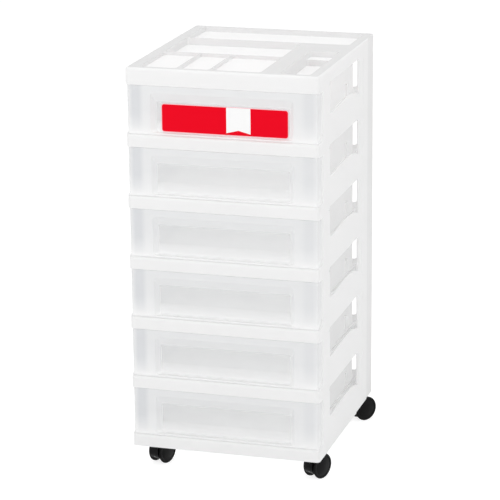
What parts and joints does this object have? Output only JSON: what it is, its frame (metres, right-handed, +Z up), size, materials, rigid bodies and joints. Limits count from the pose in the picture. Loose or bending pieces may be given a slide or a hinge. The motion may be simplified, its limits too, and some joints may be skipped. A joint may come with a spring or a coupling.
{
  "type": "drawer tower",
  "caption": "Rolling drawer tower: white stacked frames, clear sliding drawers, an organizer tray on top and twin-wheel casters.",
  "frame": {"origin": "on the floor, under the middle of the tower's frame", "axes": "+Z up, the drawer fronts towards -Y, +X to the right of someone facing the fronts"},
  "size_m": [0.3278, 0.3661, 0.6703],
  "materials": {
    "frame_plastic": "satin white moulded polypropylene",
    "drawer_plastic": "clear frosted polypropylene",
    "label_film": "printed film",
    "hood_plastic": "black moulded plastic",
    "wheel_plastic": "black moulded plastic",
    "caster_steel": "zinc-plated"
  },
  "bodies": {
    "tower": {"organizer_top": "frame_plastic", "tier_frame_1": "frame_plastic", "tier_frame_2": "frame_plastic", "tier_frame_3": "frame_plastic", "tier_frame_4": "frame_plastic", "tier_frame_5": "frame_plastic", "tier_frame_6": "frame_plastic", "front_left_stem": "caster_steel", "front_right_stem": "caster_steel", "rear_left_stem": "caster_steel", "rear_right_stem": "caster_steel"},
    "drawer_body_1": {"drawer_1": "drawer_plastic"},
    "drawer_body_2": {"drawer_2": "drawer_plastic"},
    "drawer_body_3": {"drawer_3": "drawer_plastic"},
    "drawer_body_4": {"drawer_4": "drawer_plastic"},
    "drawer_body_5": {"drawer_5": "drawer_plastic"},
    "drawer_body_6": {"drawer_6": "drawer_plastic", "drawer_label": "label_film"},
    "front_left_caster": {"front_left_housing": "hood_plastic", "front_left_axle": "caster_steel"},
    "front_left_wheel_a_body": {"front_left_wheel_a": "wheel_plastic"},
    "front_left_wheel_b_body": {"front_left_wheel_b": "wheel_plastic"},
    "front_right_caster": {"front_right_housing": "hood_plastic", "front_right_axle": "caster_steel"},
    "front_right_wheel_a_body": {"front_right_wheel_a": "wheel_plastic"},
    "front_right_wheel_b_body": {"front_right_wheel_b": "wheel_plastic"},
    "rear_left_caster": {"rear_left_housing": "hood_plastic", "rear_left_axle": "caster_steel"},
    "rear_left_wheel_a_body": {"rear_left_wheel_a": "wheel_plastic"},
    "rear_left_wheel_b_body": {"rear_left_wheel_b": "wheel_plastic"},
    "rear_right_caster": {"rear_right_housing": "hood_plastic", "rear_right_axle": "caster_steel"},
    "rear_right_wheel_a_body": {"rear_right_wheel_a": "wheel_plastic"},
    "rear_right_wheel_b_body": {"rear_right_wheel_b": "wheel_plastic"}
  },
  "joints": [
    {"name": "drawer_1_slide", "type": "slide", "parent": "tower", "child": "drawer_body_1", "axis": [0, -1, 0], "range_m": [0, 0.25]},
    {"name": "drawer_2_slide", "type": "slide", "parent": "tower", "child": "drawer_body_2", "axis": [0, -1, 0], "range_m": [0, 0.25]},
    {"name": "drawer_3_slide", "type": "slide", "parent": "tower", "child": "drawer_body_3", "axis": [0, -1, 0], "range_m": [0, 0.25]},
    {"name": "drawer_4_slide", "type": "slide", "parent": "tower", "child": "drawer_body_4", "axis": [0, -1, 0], "range_m": [0, 0.25]},
    {"name": "drawer_5_slide", "type": "slide", "parent": "tower", "child": "drawer_body_5", "axis": [0, -1, 0], "range_m": [0, 0.25]},
    {"name": "drawer_6_slide", "type": "slide", "parent": "tower", "child": "drawer_body_6", "axis": [0, -1, 0], "range_m": [0, 0.25]},
    {"name": "front_left_swivel", "type": "hinge", "parent": "tower", "child": "front_left_caster", "pos_m": [-0.131, -0.14, 0.021], "axis": [0, 0, 1], "continuous": true},
    {"name": "front_left_wheel_a_spin", "type": "hinge", "parent": "front_left_caster", "child": "front_left_wheel_a_body", "pos_m": [-0.12536, -0.12449, 0.021], "axis": [0.9397, -0.342, 0], "continuous": true},
    {"name": "front_left_wheel_b_spin", "type": "hinge", "parent": "front_left_caster", "child": "front_left_wheel_b_body", "pos_m": [-0.12536, -0.12449, 0.021], "axis": [0.9397, -0.342, 0], "continuous": true},
    {"name": "front_right_swivel", "type": "hinge", "parent": "tower", "child": "front_right_caster", "pos_m": [0.131, -0.14, 0.021], "axis": [0, 0, 1], "continuous": true},
    {"name": "front_right_wheel_a_spin", "type": "hinge", "parent": "front_right_caster", "child": "front_right_wheel_a_body", "pos_m": [0.13823, -0.12517, 0.021], "axis": [0.8988, -0.4384, 0], "continuous": true},
    {"name": "front_right_wheel_b_spin", "type": "hinge", "parent": "front_right_caster", "child": "front_right_wheel_b_body", "pos_m": [0.13823, -0.12517, 0.021], "axis": [0.8988, -0.4384, 0], "continuous": true},
    {"name": "rear_left_swivel", "type": "hinge", "parent": "tower", "child": "rear_left_caster", "pos_m": [-0.131, 0.149, 0.021], "axis": [0, 0, 1], "continuous": true},
    {"name": "rear_left_wheel_a_spin", "type": "hinge", "parent": "rear_left_caster", "child": "rear_left_wheel_a_body", "pos_m": [-0.14161, 0.16164, 0.021], "axis": [0.766, 0.6428, 0], "continuous": true},
    {"name": "rear_left_wheel_b_spin", "type": "hinge", "parent": "rear_left_caster", "child": "rear_left_wheel_b_body", "pos_m": [-0.14161, 0.16164, 0.021], "axis": [0.766, 0.6428, 0], "continuous": true},
    {"name": "rear_right_swivel", "type": "hinge", "parent": "tower", "child": "rear_right_caster", "pos_m": [0.131, 0.149, 0.021], "axis": [0, 0, 1], "continuous": true},
    {"name": "rear_right_wheel_a_spin", "type": "hinge", "parent": "rear_right_caster", "child": "rear_right_wheel_a_body", "pos_m": [0.14161, 0.16164, 0.021], "axis": [0.766, -0.6428, 0], "continuous": true},
    {"name": "rear_right_wheel_b_spin", "type": "hinge", "parent": "rear_right_caster", "child": "rear_right_wheel_b_body", "pos_m": [0.14161, 0.16164, 0.021], "axis": [0.766, -0.6428, 0], "continuous": true}
  ]
}
